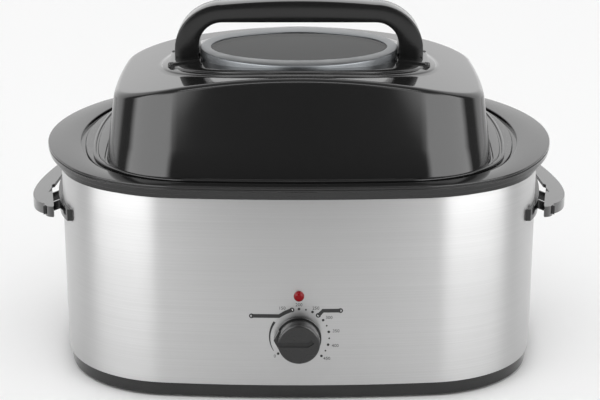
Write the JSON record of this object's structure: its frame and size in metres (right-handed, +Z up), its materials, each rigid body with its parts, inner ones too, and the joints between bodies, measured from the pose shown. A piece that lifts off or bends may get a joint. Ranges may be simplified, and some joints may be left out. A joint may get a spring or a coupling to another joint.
{
  "type": "electric roaster oven",
  "caption": "Oval countertop roaster oven with a domed lift-off lid, viewing window, steel wrap, drooping side handles, dial, lift-out pan and wire rack",
  "frame": {"origin": "on the counter under the middle of the object's box", "axes": "+Z up, front with the knob towards -Y, +X to the right of someone facing the front"},
  "size_m": [0.6124, 0.4404, 0.3966],
  "materials": {
    "brushed_shell": "horizontally brushed stainless",
    "well_steel": "plain satin steel",
    "pan_enamel": "black speckled enamel",
    "lid_black": "gloss black",
    "black_plastic": "gloss black moulding",
    "knob_plastic": "soft gloss black",
    "rubber_feet": "soft black",
    "lens_red": "clear red",
    "glass": "clear tempered",
    "satin_ring": "satin blue-grey",
    "seal_rubber": "black silicone",
    "chrome_wire": "plated wire",
    "zinc_steel": "zinc plated",
    "heater_tape": "foil-faced heating band",
    "mineral_batt": "mineral wool",
    "thermostat_case": "brown phenolic",
    "copper_bulb": "bare copper",
    "block_plastic": "pale nylon"
  },
  "bodies": {
    "housing": {"base": "black_plastic", "bottom_plate": "zinc_steel", "feet": "rubber_feet", "base_screws": "zinc_steel", "outer_wrap": "brushed_shell", "top_rim": "black_plastic", "cooking_well": "well_steel", "well_screws": "zinc_steel", "heater_band": "heater_tape", "insulation": "mineral_batt", "heat_shield": "zinc_steel", "shield_spacers": "zinc_steel", "thermostat_body": "thermostat_case", "thermostat_bracket": "zinc_steel", "thermostat_nut": "zinc_steel", "thermostat_bulb": "copper_bulb", "indicator_lamp": "block_plastic", "indicator_lens": "lens_red", "terminal_block": "block_plastic", "thermal_fuse": "block_plastic", "cord_gland": "black_plastic", "side_handle_left": "black_plastic", "side_handle_right": "black_plastic", "side_handle_screws": "zinc_steel"},
    "knob": {"control_knob": "knob_plastic", "thermostat_shaft": "zinc_steel"},
    "pan": {"roasting_pan": "pan_enamel"},
    "rack": {"rack_frame": "chrome_wire", "rack_bails": "chrome_wire"},
    "lid": {"lid_shell": "lid_black", "window_bezel": "satin_ring", "window_glass": "glass", "window_gasket": "seal_rubber", "lid_handle": "black_plastic", "lid_handle_screws": "zinc_steel"}
  },
  "joints": [
    {"name": "pan_lift", "type": "slide", "parent": "housing", "child": "pan", "axis": [0, 0, 1], "range_m": [0, 0.22]},
    {"name": "rack_lift", "type": "slide", "parent": "pan", "child": "rack", "axis": [0, 0, 1], "range_m": [0, 0.2]},
    {"name": "lid_lift", "type": "slide", "parent": "rack", "child": "lid", "axis": [0, 0, 1], "range_m": [0, 0.25]},
    {"name": "knob_turn", "type": "hinge", "parent": "housing", "child": "knob", "pos_m": [0, -0.20525, 0.073], "axis": [0, -1, 0], "range_deg": [-222, 43]}
  ]
}
